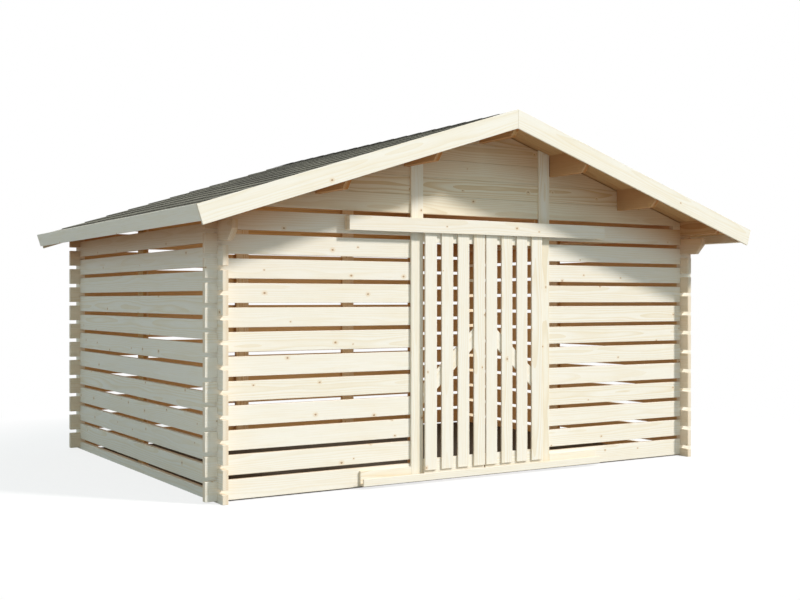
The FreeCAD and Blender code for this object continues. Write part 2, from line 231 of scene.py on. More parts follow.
def planed_spruce(name, sap, late, tan, shaded_depths=(0.004, 0.034), face_shade=0.0, knots=0.55, rings=0.5, outside_shade=0.4,
                  eave_shade=0.0):
    """Untreated spruce from the planer: cream sapwood with soft yellow ring lines, a few tight brown knots, browner at
    the sawn ends, almost matt. Towards its inner face a board turns brown as painted shade for the inside of the shed,
    and close under the roof it turns ochre as painted shade of the eaves. shaded_depths gives the depths in metres
    between which a board turns brown, face_shade the painted shade on its outer face, outside_shade what is left of
    the painted shade outside the walls, and eave_shade the ochre painted shade under the roof."""
    material = bpy.data.materials.new(name)
    material.use_nodes = True
    tree = material.node_tree
    tree.nodes.clear()
    place = add(tree, "Attribute", {"attribute_name": "grain"}).outputs["Vector"]
    log = add(tree, "SeparateXYZ", {}, {0: add(tree, "Attribute", {"attribute_name": "log"}).outputs["Vector"]})
    cut = add(tree, "Attribute", {"attribute_name": "cut"}).outputs["Fac"]
    # Knots: one or two to a metre of board, 6 to 16 mm across, round branches cut through.
    cell = (0.44, 0.17, 1.0)
    spread = add(tree, "VectorMath", {"operation": "DIVIDE", 1: cell}, {0: place})
    spots = add(tree, "TexVoronoi", {"voronoi_dimensions": "2D", "feature": "F1", "Scale": 1.0, "Randomness": 0.9},
                {"Vector": spread.outputs[0]})
    off = add(tree, "VectorMath", {"operation": "SUBTRACT"}, {0: spread.outputs[0], 1: spots.outputs["Position"]})
    off = add(tree, "VectorMath", {"operation": "MULTIPLY", 1: (cell[0] * 0.75, cell[1], 0)}, {0: off.outputs[0]})
    ragged = add(tree, "TexNoise", {"Scale": 90.0, "Detail": 1.0}, {"Vector": place})
    away = add(tree, "VectorMath", {"operation": "LENGTH"}, {0: off.outputs[0]})
    away = add(tree, "Math", {"operation": "MULTIPLY_ADD", 1: 0.006},
               {0: ragged.outputs["Fac"], 2: away.outputs["Value"]})
    away = add(tree, "Math", {"operation": "SUBTRACT", 1: 0.003}, {0: away.outputs[0]})
    lot = add(tree, "SeparateColor", {}, {0: spots.outputs["Color"]})
    there = add(tree, "Math", {"operation": "LESS_THAN", 1: knots}, {0: lot.outputs[1]})
    size = add(tree, "Math", {"operation": "MULTIPLY_ADD", 1: 0.005, 2: 0.003}, {0: lot.outputs[0]})
    size = add(tree, "Math", {"operation": "MULTIPLY"}, {0: size.outputs[0], 1: there.outputs[0]})
    size = add(tree, "Math", {"operation": "MAXIMUM", 1: 0.0002}, {0: size.outputs[0]})
    reach = add(tree, "Math", {"operation": "DIVIDE"}, {0: away.outputs[0], 1: size.outputs[0]})
    halo = add(tree, "MapRange", {"interpolation_type": "SMOOTHSTEP", "From Min": 3.4, "From Max": 0.9},
               {"Value": reach.outputs[0]}).outputs[0]
    core = add(tree, "MapRange", {"interpolation_type": "SMOOTHSTEP", "From Min": 1.15, "From Max": 0.55},
               {"Value": reach.outputs[0]}).outputs[0]
    # Year rings: cylinders about the heart of the log. Real spruce has them 2 to 4 mm apart; they are drawn 11 mm
    # apart, because closer lines would not show at this size. They bend round the knots and wander along the board.
    bent = add(tree, "CombineXYZ", {}, {"Y": log.outputs[0], "Z": log.outputs[1]})
    from_heart = add(tree, "VectorMath", {"operation": "SUBTRACT"}, {0: place, 1: bent.outputs[0]})
    from_heart = add(tree, "VectorMath", {"operation": "MULTIPLY", 1: (0, 1, 1)}, {0: from_heart.outputs[0]})
    radius = add(tree, "VectorMath", {"operation": "LENGTH"}, {0: from_heart.outputs[0]})
    slow = add(tree, "VectorMath", {"operation": "MULTIPLY", 1: (0.8, 5.0, 5.0)}, {0: place})
    wander = add(tree, "TexNoise", {"Scale": 1.0, "Detail": 2.0}, {"Vector": slow.outputs[0]})
    radius = add(tree, "Math", {"operation": "MULTIPLY_ADD", 1: 0.06},
                 {0: wander.outputs["Fac"], 2: radius.outputs["Value"]})
    radius = add(tree, "Math", {"operation": "MULTIPLY_ADD", 1: 0.014}, {0: halo, 2: radius.outputs[0]})
    ring = add(tree, "Math", {"operation": "DIVIDE", 1: 0.011}, {0: radius.outputs[0]})
    ring = add(tree, "Math", {"operation": "FRACT"}, {0: ring.outputs[0]})
    ring = add(tree, "MapRange", {"interpolation_type": "SMOOTHSTEP", "From Min": 0.3, "From Max": 0.95},
               {"Value": ring.outputs[0]}).outputs[0]
    # Fibres: streaks along the board, drawn 8 mm wide where real ones are under 1 mm, and cloudy tone over half a
    # metre.
    fine = add(tree, "VectorMath", {"operation": "MULTIPLY", 1: (4.0, 125.0, 125.0)}, {0: place})
    fibre = add(tree, "TexNoise", {"Scale": 1.0, "Detail": 2.0, "Roughness": 0.6}, {"Vector": fine.outputs[0]})
    fibre = fibre.outputs["Fac"]
    broad = add(tree, "VectorMath", {"operation": "MULTIPLY", 1: (1.7, 14.0, 14.0)}, {0: place})
    cloud = add(tree, "TexNoise", {"Scale": 1.0, "Detail": 3.0}, {"Vector": broad.outputs[0]}).outputs["Fac"]
    shown = add(tree, "Math", {"operation": "MULTIPLY_ADD", 1: 0.9, 2: 0.1}, {0: log.outputs[2]})
    shown = add(tree, "Math", {"operation": "MULTIPLY", 1: rings}, {0: shown.outputs[0]})
    lines = add(tree, "Math", {"operation": "MULTIPLY"}, {0: ring, 1: shown.outputs[0]})
    wood = add(tree, "Mix", {"data_type": "RGBA", 6: linear(sap), 7: linear(late)}, {0: lines.outputs[0]}).outputs[2]
    streak = add(tree, "MapRange", {"From Min": 0.52, "From Max": 0.8, "To Max": 0.32}, {"Value": fibre})
    wood = add(tree, "Mix", {"data_type": "RGBA", 7: linear(late)}, {0: streak.outputs[0], 6: wood}).outputs[2]
    patch = add(tree, "MapRange", {"From Min": 0.45, "From Max": 0.85, "To Max": 0.3}, {"Value": cloud})
    wood = add(tree, "Mix", {"data_type": "RGBA", 7: linear("#EDDAB4")}, {0: patch.outputs[0], 6: wood}).outputs[2]
    # Painted shade: towards its inner face a board turns brown, for the shade inside the shed.
    deep = add(tree, "SeparateXYZ", {}, {0: place})
    deep = add(tree, "MapRange", {"interpolation_type": "SMOOTHSTEP", "From Min": shaded_depths[0], "From Max": shaded_depths[1],
                                  "To Min": face_shade, "To Max": 1.0}, {"Value": deep.outputs["Z"]})
    # Outside the walls, as on the board ends past the corners, this painted shade is cut down to the share given.
    where = add(tree, "SeparateXYZ", {}, {0: add(tree, "TexCoord").outputs["Object"]})
    wide, middle, deep_in = HALF - THICK + 1, (FRONT + BACK) / 2, (BACK - FRONT) / 2 - THICK + 2
    for_x = add(tree, "Math", {"operation": "COMPARE", 1: 0.0, 2: wide / 1000}, {0: where.outputs[0]})
    for_y = add(tree, "Math", {"operation": "COMPARE", 1: middle / 1000, 2: deep_in / 1000}, {0: where.outputs[1]})
    inside = add(tree, "Math", {"operation": "MULTIPLY"}, {0: for_x.outputs[0], 1: for_y.outputs[0]})
    inside = add(tree, "MapRange", {"To Min": outside_shade}, {"Value": inside.outputs[0]})
    deep = add(tree, "Math", {"operation": "MULTIPLY"}, {0: deep.outputs[0], 1: inside.outputs[0]})
    sawn = add(tree, "Math", {"operation": "MULTIPLY", 1: 0.2}, {0: cut})
    brown = add(tree, "Math", {"operation": "MAXIMUM"}, {0: deep.outputs[0], 1: sawn.outputs[0]})
    # Close under the roof the wood turns ochre as painted shade of the eaves: the height below the slope, which is the
    # ridge's height less RISE for each metre outwards, turns it ochre over the last 0.45 m.
    sideways = add(tree, "Math", {"operation": "ABSOLUTE"}, {0: where.outputs[0]})
    below = add(tree, "Math", {"operation": "MULTIPLY_ADD", 1: -RISE, 2: RIDGE_Z / 1000},
                {0: sideways.outputs[0]})
    below = add(tree, "Math", {"operation": "SUBTRACT"}, {0: below.outputs[0], 1: where.outputs[2]})
    ochre = add(tree, "MapRange", {"interpolation_type": "SMOOTHSTEP", "From Min": 0.5, "From Max": 0.06,
                                   "To Max": eave_shade}, {"Value": below.outputs[0]})
    wood = add(tree, "Mix", {"data_type": "RGBA", "blend_type": "MULTIPLY", 7: linear("#CF9C60")},
               {0: ochre.outputs[0], 6: wood}).outputs[2]
    # The brown tint carries the painted shade inside and the browner sawn ends.
    wood = add(tree, "Mix", {"data_type": "RGBA", "blend_type": "MULTIPLY", 7: linear(tan)},
               {0: brown.outputs[0], 6: wood}).outputs[2]
    glow = add(tree, "Math", {"operation": "MULTIPLY", 1: 0.38}, {0: halo})
    wood = add(tree, "Mix", {"data_type": "RGBA", 7: linear("#DFB97F")}, {0: glow.outputs[0], 6: wood}).outputs[2]
    dark = add(tree, "Math", {"operation": "MULTIPLY", 1: 0.8}, {0: core})
    wood = add(tree, "Mix", {"data_type": "RGBA", 7: linear("#9A7148")}, {0: dark.outputs[0], 6: wood}).outputs[2]
    height = add(tree, "Math", {"operation": "MULTIPLY_ADD", 1: 0.6}, {0: fibre, 2: ring})
    bump = add(tree, "Bump", {"Strength": 0.25, "Distance": 0.0006}, {"Height": height.outputs[0]})
    rough = add(tree, "MapRange", {"To Min": 0.58, "To Max": 0.74}, {"Value": fibre})
    shader = add(tree, "BsdfPrincipled", {"Specular IOR Level": 0.35, "IOR": 1.5},
                 {"Base Color": wood, "Roughness": rough.outputs[0], "Normal": bump.outputs[0]})
    add(tree, "OutputMaterial", {}, {"Surface": shader.outputs[0]})
    return material


wall_spruce = planed_spruce("planed_spruce_walls", "#F7F1E6", "#E6D3AB", "#E3C08F", eave_shade=0.9)
rows = 14.0 + PITCH * np.arange(12)
corner = [(-HALF - 1, -HALF + THICK + 1), (HALF - THICK - 1, HALF + 1)]
left = [plank(*notched(-HALF - STUB, -DOOR_HALF, corner[:1], z, z + BOARD), FRONT, FRONT + THICK) for z in rows[:-1]]
right = [plank(*notched(DOOR_HALF, HALF + STUB, corner[1:], z, z + BOARD), FRONT, FRONT + THICK) for z in rows[:-1]]
lintel = [plank(*notched(-HALF - STUB, HALF + STUB, corner, rows[-1], rows[-1] + BOARD), FRONT, FRONT + THICK)]
lying = (ACROSS, UP, BACKWARDS)
fit_boards("front_boards_left", left, lying, wall_spruce, "shed", ["front_wall_left"])
fit_boards("front_boards_right", right, lying, wall_spruce, "shed", ["front_wall_right"])
fit_boards("front_board_over_door", lintel, lying, wall_spruce, "shed", ["front_lintel_board"])

# Back wall: the same boards in one length from corner to corner, their planed outer faces to the back.
back = [plank(*notched(-HALF - STUB, HALF + STUB, corner, z, z + BOARD), BACK - THICK, BACK, "far") for z in rows]
fit_boards("back_boards", back, lying, wall_spruce, "shed", ["back_wall"])

# Side walls: half a row higher than front and back, on a 67 mm foot board. The topmost is the long log, which sticks
# out 250 mm in front and has its lower corner sawn off at 45 degrees.
FOOT, LONG_LOG, LOG_CUT = 67.0, 250.0, 74.0
meets = [(FRONT - 1, FRONT + THICK + 1), (BACK - THICK - 1, BACK + 1)]
for side, name in ((-1, "left"), (1, "right")):
    near, far = sorted((side * HALF, side * (HALF - THICK)))
    outer = "near" if side < 0 else "far"
    stack = [plank(*notched(FRONT - STUB, BACK + STUB, meets, 0.0, FOOT, 0.0), near, far, outer)]
    stack += [plank(*notched(FRONT - STUB, BACK + STUB, meets, z, z + BOARD), near, far, outer)
              for z in rows[:10] + PITCH / 2]
    level = (BACKWARDS, UP, ACROSS)
    fit_boards("side_boards_" + name, stack, level, wall_spruce, "shed", [name + "_wall"])
    z = rows[10] + PITCH / 2
    along, low, high = notched(FRONT - LONG_LOG, BACK + STUB, meets, z, z + BOARD)
    log = plank([along[0], along[0] + LOG_CUT] + along[1:], [z + LOG_CUT, z] + low[1:], [high[0]] + high,
                near, far, outer)
    fit_boards("long_log_" + name, [log], level, wall_spruce, "shed", [name + "_long_log"])

# Purlins: boards on edge that carry the roof and reach out under it at both ends, lower corners sawn off. They are
# drawn browner than the walls, as painted shade under the roof.
SLOPE = atan(RISE)
ROOF_LOW, PURLIN, PURLIN_CUT, TRIM = 35.0, 166.0, 50.0, 18.0
ROOF_Y = 2011.0
UPPER_X, EAVE_X = 702.0, HALF - THICK / 2
LOWER_X = (UPPER_X + EAVE_X) / 2


def slope_z(x, drop):
    """Height of the roof layer that lies drop below the top of the barge boards: ridge less drop / cos less x tan."""
    return RIDGE_Z - drop / cos(SLOPE) - abs(x) * RISE


roof_spruce = planed_spruce("planed_spruce_roof_timber", "#EFDCB8", "#CFA568", "#CFA068", (0.0, 0.03), 0.5, 0.5, 0.7,
                            outside_shade=1.0, eave_shade=0.55)
ends = [-ROOF_Y + TRIM, -ROOF_Y + TRIM + PURLIN_CUT, ROOF_Y - TRIM - PURLIN_CUT, ROOF_Y - TRIM]


def purlin(x, low):
    """A purlin: its section carried along the shed, its lower edge raised by the cut at both ends, its top in the
    roof boards' lower side."""
    lows = [low + PURLIN_CUT, low, low, low + PURLIN_CUT]
    top = slope_z(max(abs(x) - THICK / 2, 0), ROOF_LOW)
    return plank(ends, lows, [top] * 4, x - THICK / 2, x + THICK / 2)


for side, name in ((-1, "left"), (1, "right")):
    eave = [purlin(side * EAVE_X, rows[11] + PITCH / 2)]
    fit_boards("purlin_at_eave_" + name, eave, level, roof_spruce, "shed", [name + "_eave_purlin"])
fit_boards("purlin_at_ridge", [purlin(0, slope_z(0, ROOF_LOW) - PURLIN)], level, roof_spruce, "shed",
           ["ridge_purlin"])
between = [purlin(side * x, slope_z(x, ROOF_LOW) - PURLIN) for side in (-1, 1) for x in (UPPER_X, LOWER_X)]
fit_boards("purlins_between", between, level, roof_spruce, "shed", ["slope_purlins"])

# Gables: boards stacked without gaps, 141 mm a course with a V joint between them, cut to the slope a finger short of
# the roof boards and notched over the purlins. A short block fills the last gap in each corner.
COURSE, GABLE_PLAY, GABLE_FOOT = 141.0, 8.0, 90.0
gable_spruce = planed_spruce("planed_spruce_gables", "#F3EAD6", "#D8BB88", "#E3C08F", knots=0.5, rings=0.7,
                             eave_shade=0.55)


def gable_course(low, high, near, far, outer):
    """The pieces of one course: its upper edge is the least of the course height, the slope and, over a purlin, the
    purlin's lower edge. Stations are the places where one limit takes over from another, twice where it steps."""
    reach = HALF - THICK
    play = ROOF_LOW + GABLE_PLAY
    full = min(reach, (slope_z(0, play) - high) / RISE)
    tip = min(reach, (slope_z(0, play) - low) / RISE - 6)
    half = THICK / 2 + 1
    steps = {-tip, tip, -full, full, 0.0}
    notches = []
    for x in (-LOWER_X, -UPPER_X, 0.0, UPPER_X, LOWER_X):
        under = slope_z(x, ROOF_LOW) - PURLIN
        if under < high and abs(x) - half < tip:
            notches.append((x - half, x + half, under))
            steps |= {x - half, x + half}
    steps = sorted(s for s in steps if abs(s) <= tip)
    pieces, run = [], []
    for a, b in zip(steps[:-1], steps[1:]):
        if b - a < 2:
            continue
        limit = min([n[2] for n in notches if n[0] - 0.5 <= a and b <= n[1] + 0.5], default=1e9)
        tops = [min(high, slope_z(s, play), limit) for s in (a, b)]
        if min(tops) < low + 1:
            pieces.append(run)
            run = []
        else:
            run += [(a, tops[0]), (b, tops[1])]
    pieces.append(run)
    return [plank([s for s, _ in part], low, [t for _, t in part], near, far, outer, 3.0) for part in pieces if part]


def gable(near, far, outer):
    """All courses of a gable from the last open row up to the ridge, with the two corner blocks."""
    made = []
    low = rows[-1] + PITCH
    while low < RIDGE_Z - 60:
        made += gable_course(low + 0.4, min(low + COURSE - 0.4, RIDGE_Z - 50), near, far, outer)
        low += COURSE
    for side in (-1, 1):
        a, b = sorted((side * (HALF - THICK), side * (HALF - THICK - GABLE_FOOT)))
        made.append(plank([a, b], rows[-1] + BOARD, rows[-1] + PITCH, near, far, outer))
    return made


courses = gable(FRONT, FRONT + THICK, "near")
fit_boards("gable_front", courses, lying, gable_spruce, "shed", ["front_gable"])
courses = gable(BACK - THICK, BACK, "far")
fit_boards("gable_back", courses, lying, gable_spruce, "shed", ["back_gable"])

# Posts beside the doorway, outside and inside, and the battens that tie the back and side boards together: upright
# boards screwed on, their tops cut to the slope.
POST, POST_T, STUD = 108.0, 18.0, 44.0
standing = (UP, ACROSS, BACKWARDS)
frame_spruce = planed_spruce("planed_spruce_posts", "#F6F0E3", "#E2CC9F", "#E3C08F", knots=0.35, rings=0.6)
# The posts and battens inside are drawn browner all over, as painted shade for the inside of the shed.
inner_spruce = planed_spruce("planed_spruce_inside", "#EFDFBE", "#D2AC74", "#E0BC8A", (0.0, 0.03), 0.3, 0.5, 0.6, 1.0)


def upright(x0, x1, near, far, outer="near"):
    """An upright from the lowest row to the roof boards: its top falls by RISE for each step outwards."""
    side = 1 if x0 + x1 > 0 else -1
    top = slope_z(0, ROOF_LOW + 1)
    return plank([rows[0], 400.0, 1600.0, top], min(x0, x1), max(x0, x1), near, far, outer,
                 lean=[0, 0, 0, -side * RISE])


outside = [upright(s * DOOR_HALF, s * (DOOR_HALF + POST), FRONT - POST_T, FRONT) for s in (-1, 1)]
fit_boards("posts_outside", outside, standing, frame_spruce, "shed", ["front_posts"])
stud = DOOR_HALF + (POST - STUD) / 2
inside = [upright(s * stud, s * (stud + STUD), FRONT + THICK, FRONT + 2 * THICK, "far") for s in (-1, 1)]
fit_boards("posts_inside", inside, standing, inner_spruce, "shed", ["inner_posts"])
tied = [upright(s * 542.5, s * 677.5, BACK - 2 * THICK, BACK - THICK) for s in (-1, 1)]
fit_boards("battens_back", tied, standing, inner_spruce, "shed", ["back_battens"])
for side, name in ((-1, "left"), (1, "right")):
    near, far = sorted((side * (HALF - THICK), side * (HALF - 2 * THICK)))
    top = slope_z(HALF - THICK, ROOF_LOW + 1)
    batten = [plank([rows[0], 400.0, 1600.0, top], 111.5, 246.5, near, far, "far" if side < 0 else "near")]
    fit_boards("batten_" + name, batten, (UP, BACKWARDS, ACROSS), inner_spruce, "shed",
               [name + "_batten"])

# Roof boards: 20 mm spruce laid from the ridge down to the eaves, 42 a side, tongued together with a V joint that
# shows from below.
RUN = (HALF + 335.0) / cos(SLOPE)
SHINGLE_TOP, SHINGLE_LOW = 6.0, 15.0
# The roof boards are drawn browner all over, as painted shade on the underside of the roof.
soffit_spruce = planed_spruce("planed_spruce_soffit", "#E9CFA0", "#C4935A", "#C4935A", (0.0, 0.02), 0.6, 0.6, 0.8,
                              outside_shade=1.0)
strips = np.linspace(-ROOF_Y + TRIM, ROOF_Y - TRIM, 43)


def slope_basis(side):
    """Along is down the slope, up is the shed's depth, through is square to the slope and down."""
    return (np.array([side * cos(SLOPE), 0, -sin(SLOPE)]), BACKWARDS, np.array([-side * sin(SLOPE), 0, -cos(SLOPE)]))


def lift(planks):
    """Moves boards given from the ridge line up to it, by the ridge's height split into the slope's directions."""
    for plank_made in planks:
        plank_made[0][:, 0] -= RIDGE_Z * sin(SLOPE)
        plank_made[0][:, 2] -= RIDGE_Z * cos(SLOPE)
    return planks


for side, name in ((-1, "left"), (1, "right")):
    laid = [plank([12.0, RUN - TRIM], a + 0.3, b - 0.3, SHINGLE_LOW, ROOF_LOW, "far", 2.5)
            for a, b in zip(strips[:-1], strips[1:])]
    fit_boards("roof_boards_" + name + "_slope", lift(laid), slope_basis(side), soffit_spruce, "shed",
               [name + "_roof_boards"])

# Barge boards and fascias: planed trim 18 mm thick round the edge of the roof, the barge boards 138 mm high and cut
# upright where they meet at the ridge, the fascias 112 mm high between them along the eaves.
trim_spruce = planed_spruce("planed_spruce_trim", "#F7F1E6", "#E9D6AE", "#E9CFA6", (0.004, 0.016), knots=0.25,
                            rings=0.4)


def barge_basis(side):
    """Along is down the slope, up is square to the slope and up, through is the shed's depth."""
    return (np.array([side * cos(SLOPE), 0, -sin(SLOPE)]), np.array([side * sin(SLOPE), 0, cos(SLOPE)]), BACKWARDS)


def set_at_ridge(planks):
    """Moves boards given from the ridge line up to it, as lift does, where up is square to the slope."""
    for plank_made in planks:
        plank_made[0][:, 0] -= RIDGE_Z * sin(SLOPE)
        plank_made[0][:, 1] += RIDGE_Z * cos(SLOPE)
    return planks


for y, name, outer, top, run in ((-ROOF_Y, "front", "near", 0.01, RUN),
                                 (ROOF_Y - TRIM, "back", "far", SHINGLE_LOW, RUN - TRIM)):
    halves = []
    for side in (-1, 1):
        board = plank([0.6, 900.0, 1800.0, run], -BOARD, -top, y, y + TRIM, outer, 1.2, lean=[-RISE, 0, 0, 0])
        halves.append(set_at_ridge([board]))
    fit_boards("barge_" + name + "_left", halves[0], barge_basis(-1), trim_spruce, "shed",
               [name + "_barge_boards"])
    fit_boards("barge_" + name + "_right", halves[1], barge_basis(1), trim_spruce, "shed",
               [name + "_barge_boards"])
for side, name in ((-1, "left"), (1, "right")):
    basis = (BACKWARDS, *[barge_basis(side)[i] for i in (1, 0)])
    fascia = plank([-ROOF_Y + TRIM, -600.0, 800.0, ROOF_Y], -112.0, -0.01, RUN - TRIM, RUN, "far", 2.0)
    fascia[0][:, 1] += RIDGE_Z * cos(SLOPE)
    fascia[0][:, 2] -= RIDGE_Z * sin(SLOPE)
    fit_boards("fascia_" + name, [fascia], basis, trim_spruce, "shed", ["eave_fascias"])

# Shingles: bitumen felt tabs with mineral grit, three to a metre, each course lying on the one below it, so that it
# is thick at its lower edge and thin under the next. The cut edges show black bitumen, the slots black painted shade.
EXPOSED, TAB, SLOT = (RUN - TRIM) / 12, (2 * ROOF_Y - TRIM) / 12, 30.0
shuffled = np.random.default_rng(5)


def shingle_slope(name, side, node):
    """Tabs of one roof side as one array: course k ends at (12 - k) exposures below the ridge, tab i runs from i to
    i + 1 tab widths less the slot, moved half a tab in every second course. A tab is a wedge: 6 mm thick at its lower
    edge, 1 mm at its upper edge one exposure and a quarter above."""
    course, tab = np.meshgrid(np.arange(12), np.arange(13), indexing="ij")
    course, tab = course.ravel(), tab.ravel()
    y0 = -ROOF_Y + TRIM + (tab - 0.5 * (course % 2)) * TAB + SLOT / 2
    y1 = y0 + TAB - SLOT
    y0, y1 = np.clip(y0, -ROOF_Y + TRIM, None), np.clip(y1, None, ROOF_Y)
    fits = y1 - y0 > 30
    course, y0, y1 = course[fits], y0[fits], y1[fits]
    butt = (12 - course) * EXPOSED
    head = np.maximum(butt - 1.25 * EXPOSED, 4.0)
    proud = shuffled.uniform(-0.5, 0.5, (len(butt), 2))
    skew = shuffled.uniform(-2.5, 2.5, (len(butt), 2))
    top_low = SHINGLE_TOP + 0.6 + proud
    share = (butt - head) / (1.25 * EXPOSED)
    top_high = (14.0 - 7.4 * (1 - share))[:, None] + 0 * proud
    run = np.minimum(np.stack([butt + skew[:, 0], butt + skew[:, 1], head, head], axis=1), RUN - TRIM)
    deep = np.stack([y0, y1, y1, y0], axis=1)
    upper = np.stack([top_low[:, 0], top_low[:, 1], top_high[:, 0], top_high[:, 1]], axis=1)
    lower = upper + np.array([6.0, 6.0, 0.9, 0.9])
    lower = np.minimum(lower, SHINGLE_LOW)
    # The last box is a dark felt sheet under the tabs, painted shade that shows in the slots.
    run = np.vstack([run, [RUN - TRIM, RUN - TRIM, 6.0, 6.0]])
    deep = np.vstack([deep, [-ROOF_Y + TRIM, ROOF_Y, ROOF_Y, -ROOF_Y + TRIM]])
    upper = np.vstack([upper, np.full(4, SHINGLE_LOW - 0.8)])
    lower = np.vstack([lower, np.full(4, SHINGLE_LOW)])
    local = np.stack([np.concatenate([run, run], axis=1), np.concatenate([deep, deep], axis=1),
                      np.concatenate([upper, lower], axis=1)], axis=2)
    run, y, drop = local[..., 0], local[..., 1], local[..., 2]
    out, down = run * cos(SLOPE) - drop * sin(SLOPE), run * sin(SLOPE) + drop * cos(SLOPE)
    points = np.stack([side * out, y, RIDGE_Z - down], axis=2).reshape(-1, 3) / 1000
    shape = np.array([[0, 1, 2, 3], [4, 7, 6, 5], [0, 4, 5, 1], [1, 5, 6, 2], [2, 6, 7, 3], [3, 7, 4, 0]])
    faces = (np.arange(len(run))[:, None, None] * 8 + shape).reshape(-1, 4)
    faces = faces if side > 0 else faces[:, ::-1]
    mesh = bpy.data.meshes.new(name)
    mesh.from_pydata(points.tolist(), [], faces.tolist())
    tone = np.repeat(shuffled.uniform(0, 1, len(run)), 6 * 4).astype(np.float32)
    # The sides of each tab and the sheet below are drawn black, as bitumen and as painted shade in the slots; the
    # butts get 0.35 of it.
    slot_shade_and_cut_edge = np.tile(np.repeat([0.0, 1.0, 0.35, 1.0, 1.0, 1.0], 4), len(run)).astype(np.float32)
    slot_shade_and_cut_edge[-6 * 4:] = 1.0
    mesh.attributes.new("tone", "FLOAT", "CORNER").data.foreach_set("value", tone)
    mesh.attributes.new("slot_shade_and_cut_edge", "FLOAT", "CORNER").data.foreach_set("value", slot_shade_and_cut_edge)
    piece = bpy.data.objects.new(name, mesh)
    scene.collection.objects.link(piece)
    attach(piece, "shed")
    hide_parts(node)
    return piece


def mineral_felt():
    """Bitumen shingle rolled with crushed slate: mid grey, speckled light and dark, quite matt; black where cut, and
    black in the slots as painted shade.
    """
    material = bpy.data.materials.new("mineral_felt_shingle")
    material.use_nodes = True
    tree = material.node_tree
    tree.nodes.clear()
    place = add(tree, "TexCoord").outputs["Object"]
    tone = add(tree, "Attribute", {"attribute_name": "tone"}).outputs["Fac"]
    slot_shade_and_cut_edge = add(tree, "Attribute", {"attribute_name": "slot_shade_and_cut_edge"}).outputs["Fac"]
    # Grit is 1 to 2 mm; it is drawn 7 mm across, because finer grains would not show.
    grit = add(tree, "TexVoronoi", {"Scale": 140.0}, {"Vector": place})
    grain = add(tree, "SeparateColor", {}, {0: grit.outputs["Color"]}).outputs[0]
    weather = add(tree, "TexNoise", {"Scale": 2.2, "Detail": 4.0}, {"Vector": place}).outputs["Fac"]
    felt = add(tree, "Mix", {"data_type": "RGBA", 6: linear("#6C685D"), 7: linear("#8A8577")}, {0: tone}).outputs[2]
    speck = add(tree, "MapRange", {"From Min": 0.2, "From Max": 0.95, "To Min": 0.72, "To Max": 1.3},
                {"Value": grain})
    worn = add(tree, "MapRange", {"From Min": 0.3, "From Max": 0.7, "To Min": 0.9, "To Max": 1.1}, {"Value": weather})
    both = add(tree, "Math", {"operation": "MULTIPLY"}, {0: speck.outputs[0], 1: worn.outputs[0]})
    felt = add(tree, "VectorMath", {"operation": "SCALE"}, {0: felt, "Scale": both.outputs[0]}).outputs[0]
    # Black bitumen on the cut edges, and painted shade in the slots.
    felt = add(tree, "Mix", {"data_type": "RGBA", 7: linear("#2B2926")}, {0: slot_shade_and_cut_edge, 6: felt}).outputs[2]
    bump = add(tree, "Bump", {"Strength": 0.5, "Distance": 0.001}, {"Height": grain})
    shader = add(tree, "BsdfPrincipled", {"Roughness": 0.92, "Specular IOR Level": 0.25},
                 {"Base Color": felt, "Normal": bump.outputs[0]})
    add(tree, "OutputMaterial", {}, {"Surface": shader.outputs[0]})
    return material


felt = mineral_felt()
for side, name in ((-1, "left"), (1, "right")):
    tabs = shingle_slope("shingles_" + name + "_slope", side, name + "_shingles")
    tabs.data.materials.append(felt)

# Ridge cap: strips of the same felt bent over the ridge, each lying 30 mm over the next.
CAP_REACH, CAP_STEP = 130.0, (2 * ROOF_Y - TRIM) / 18
i = np.arange(18)
y0 = -ROOF_Y + TRIM + i * CAP_STEP
y1 = np.minimum(y0 + CAP_STEP + 30, ROOF_Y)
across = np.array([-CAP_REACH, -40.0, -12.0, 0.0, 12.0, 40.0, CAP_REACH])
sag = np.array([6.0, 6.0, 6.8, 8.2, 6.8, 6.0, 6.0])
rise = np.stack([y0 * 0 + 4.6, y0 * 0 + 0.0], axis=1)
x = np.broadcast_to(across * cos(SLOPE), (18, 2, 7))
z = RIDGE_Z - np.abs(across) * sin(SLOPE) - sag * cos(SLOPE) + rise[:, :, None]
y = np.broadcast_to(np.stack([y0, y1], axis=1)[:, :, None], (18, 2, 7))
upper = np.stack([x, y, z], axis=3)
lower = upper - np.array([0, 0, 1.0]) * np.where(np.arange(2)[:, None, None] == 0, 4.2, 0.8)
points = np.stack([upper, lower], axis=1).reshape(-1, 3) / 1000
j = np.arange(6)
top = np.stack([j, j + 1, j + 8, j + 7], axis=1)
rim = np.array([[6, 20, 27, 13], [0, 7, 21, 14]])
shape = np.concatenate([top, top[:, ::-1] + 14, np.stack([j, j + 14, j + 15, j + 1], axis=1),
                        np.stack([j + 7, j + 8, j + 22, j + 21], axis=1), rim])
faces = (i[:, None, None] * 28 + shape).reshape(-1, 4)
mesh = bpy.data.meshes.new("ridge_strips")
mesh.from_pydata(points.tolist(), [], faces.tolist())
marks = np.r_[np.zeros(6), np.ones(len(shape) - 6)]
mesh.attributes.new("tone", "FLOAT", "CORNER").data.foreach_set(
    "value", np.repeat(shuffled.uniform(0, 1, 18), len(shape) * 4).astype(np.float32))
mesh.attributes.new("slot_shade_and_cut_edge", "FLOAT", "CORNER").data.foreach_set(
    "value", np.tile(np.repeat(marks, 4), 18).astype(np.float32))
mesh.materials.append(felt)
strips_of_felt = bpy.data.objects.new("ridge_strips", mesh)
scene.collection.objects.link(strips_of_felt)
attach(strips_of_felt, "shed")
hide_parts("ridge_cap")

